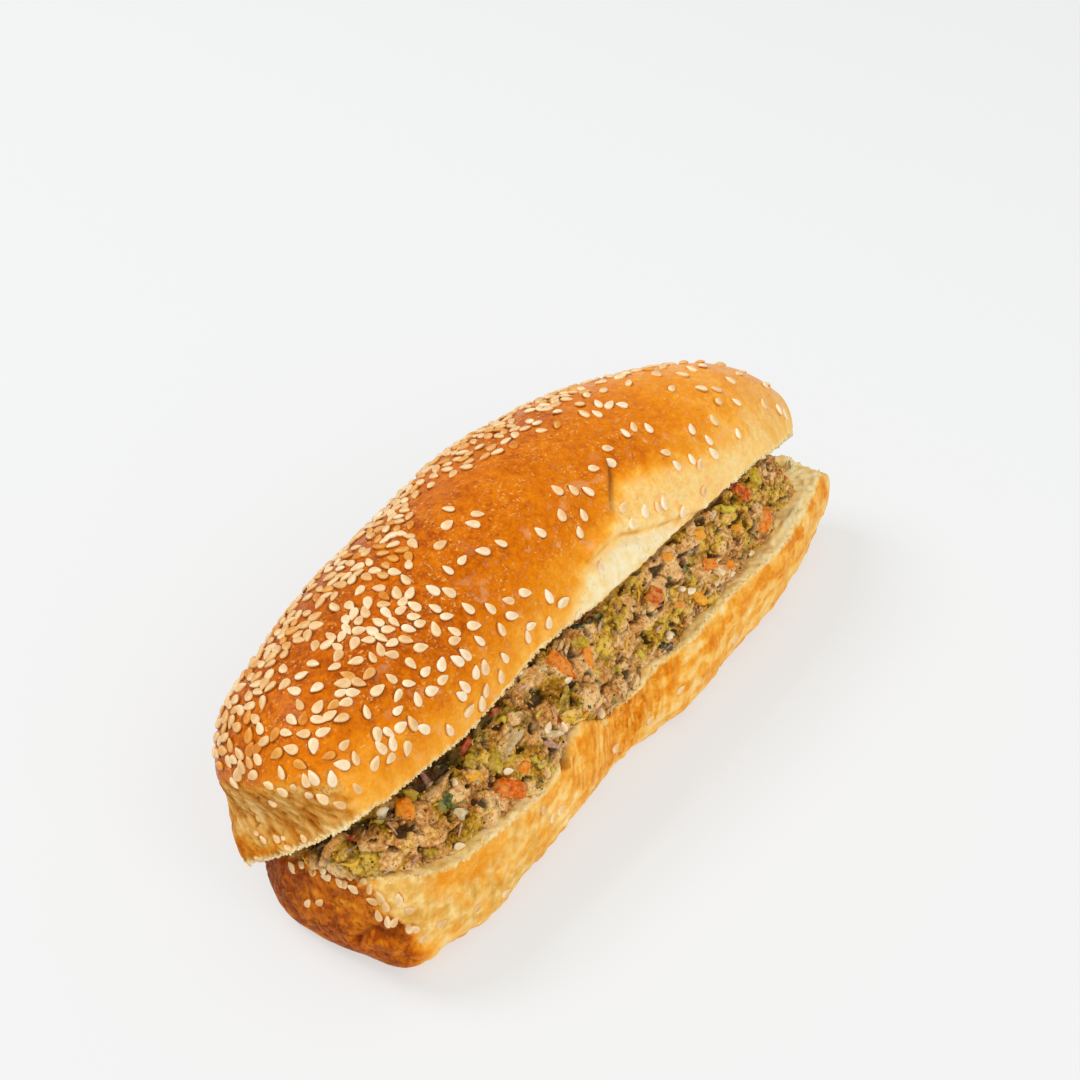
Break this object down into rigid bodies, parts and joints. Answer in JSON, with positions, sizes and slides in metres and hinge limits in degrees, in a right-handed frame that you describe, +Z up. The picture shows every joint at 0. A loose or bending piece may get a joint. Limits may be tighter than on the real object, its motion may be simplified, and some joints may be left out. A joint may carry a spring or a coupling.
{
  "type": "tuna sandwich",
  "caption": "Long sesame roll slit open along one side, filled with tuna salad that shows between the domed crown and the flat heel.",
  "frame": {"origin": "middle of the underside of the whole roll, on the surface that it rests on", "axes": "+X along the roll towards its tapered end, -Y towards the open side with the filling, +Z up"},
  "size_m": [0.1942, 0.0742, 0.0665],
  "materials": {
    "crown_crust": "baked bread crust, golden brown, with a light egg-wash gloss",
    "heel_crust": "baked bread crust, pale golden front, browner at the ends, satin",
    "bread_crumb": "torn bread crumb, matt and porous",
    "tuna_salad": "mashed tuna with dressing, moist",
    "sesame_seed": "sesame seed, satin",
    "carrot": "cut carrot, moist",
    "red_pepper": "cut red pepper, moist",
    "green_vegetable": "chopped pickle and herbs, moist",
    "pale_vegetable": "chopped onion and celery, moist and slightly clear"
  },
  "bodies": {
    "root": {"bun_heel": "heel_crust", "tuna_filling": "tuna_salad", "bun_crown": "crown_crust"}
  },
  "joints": []
}
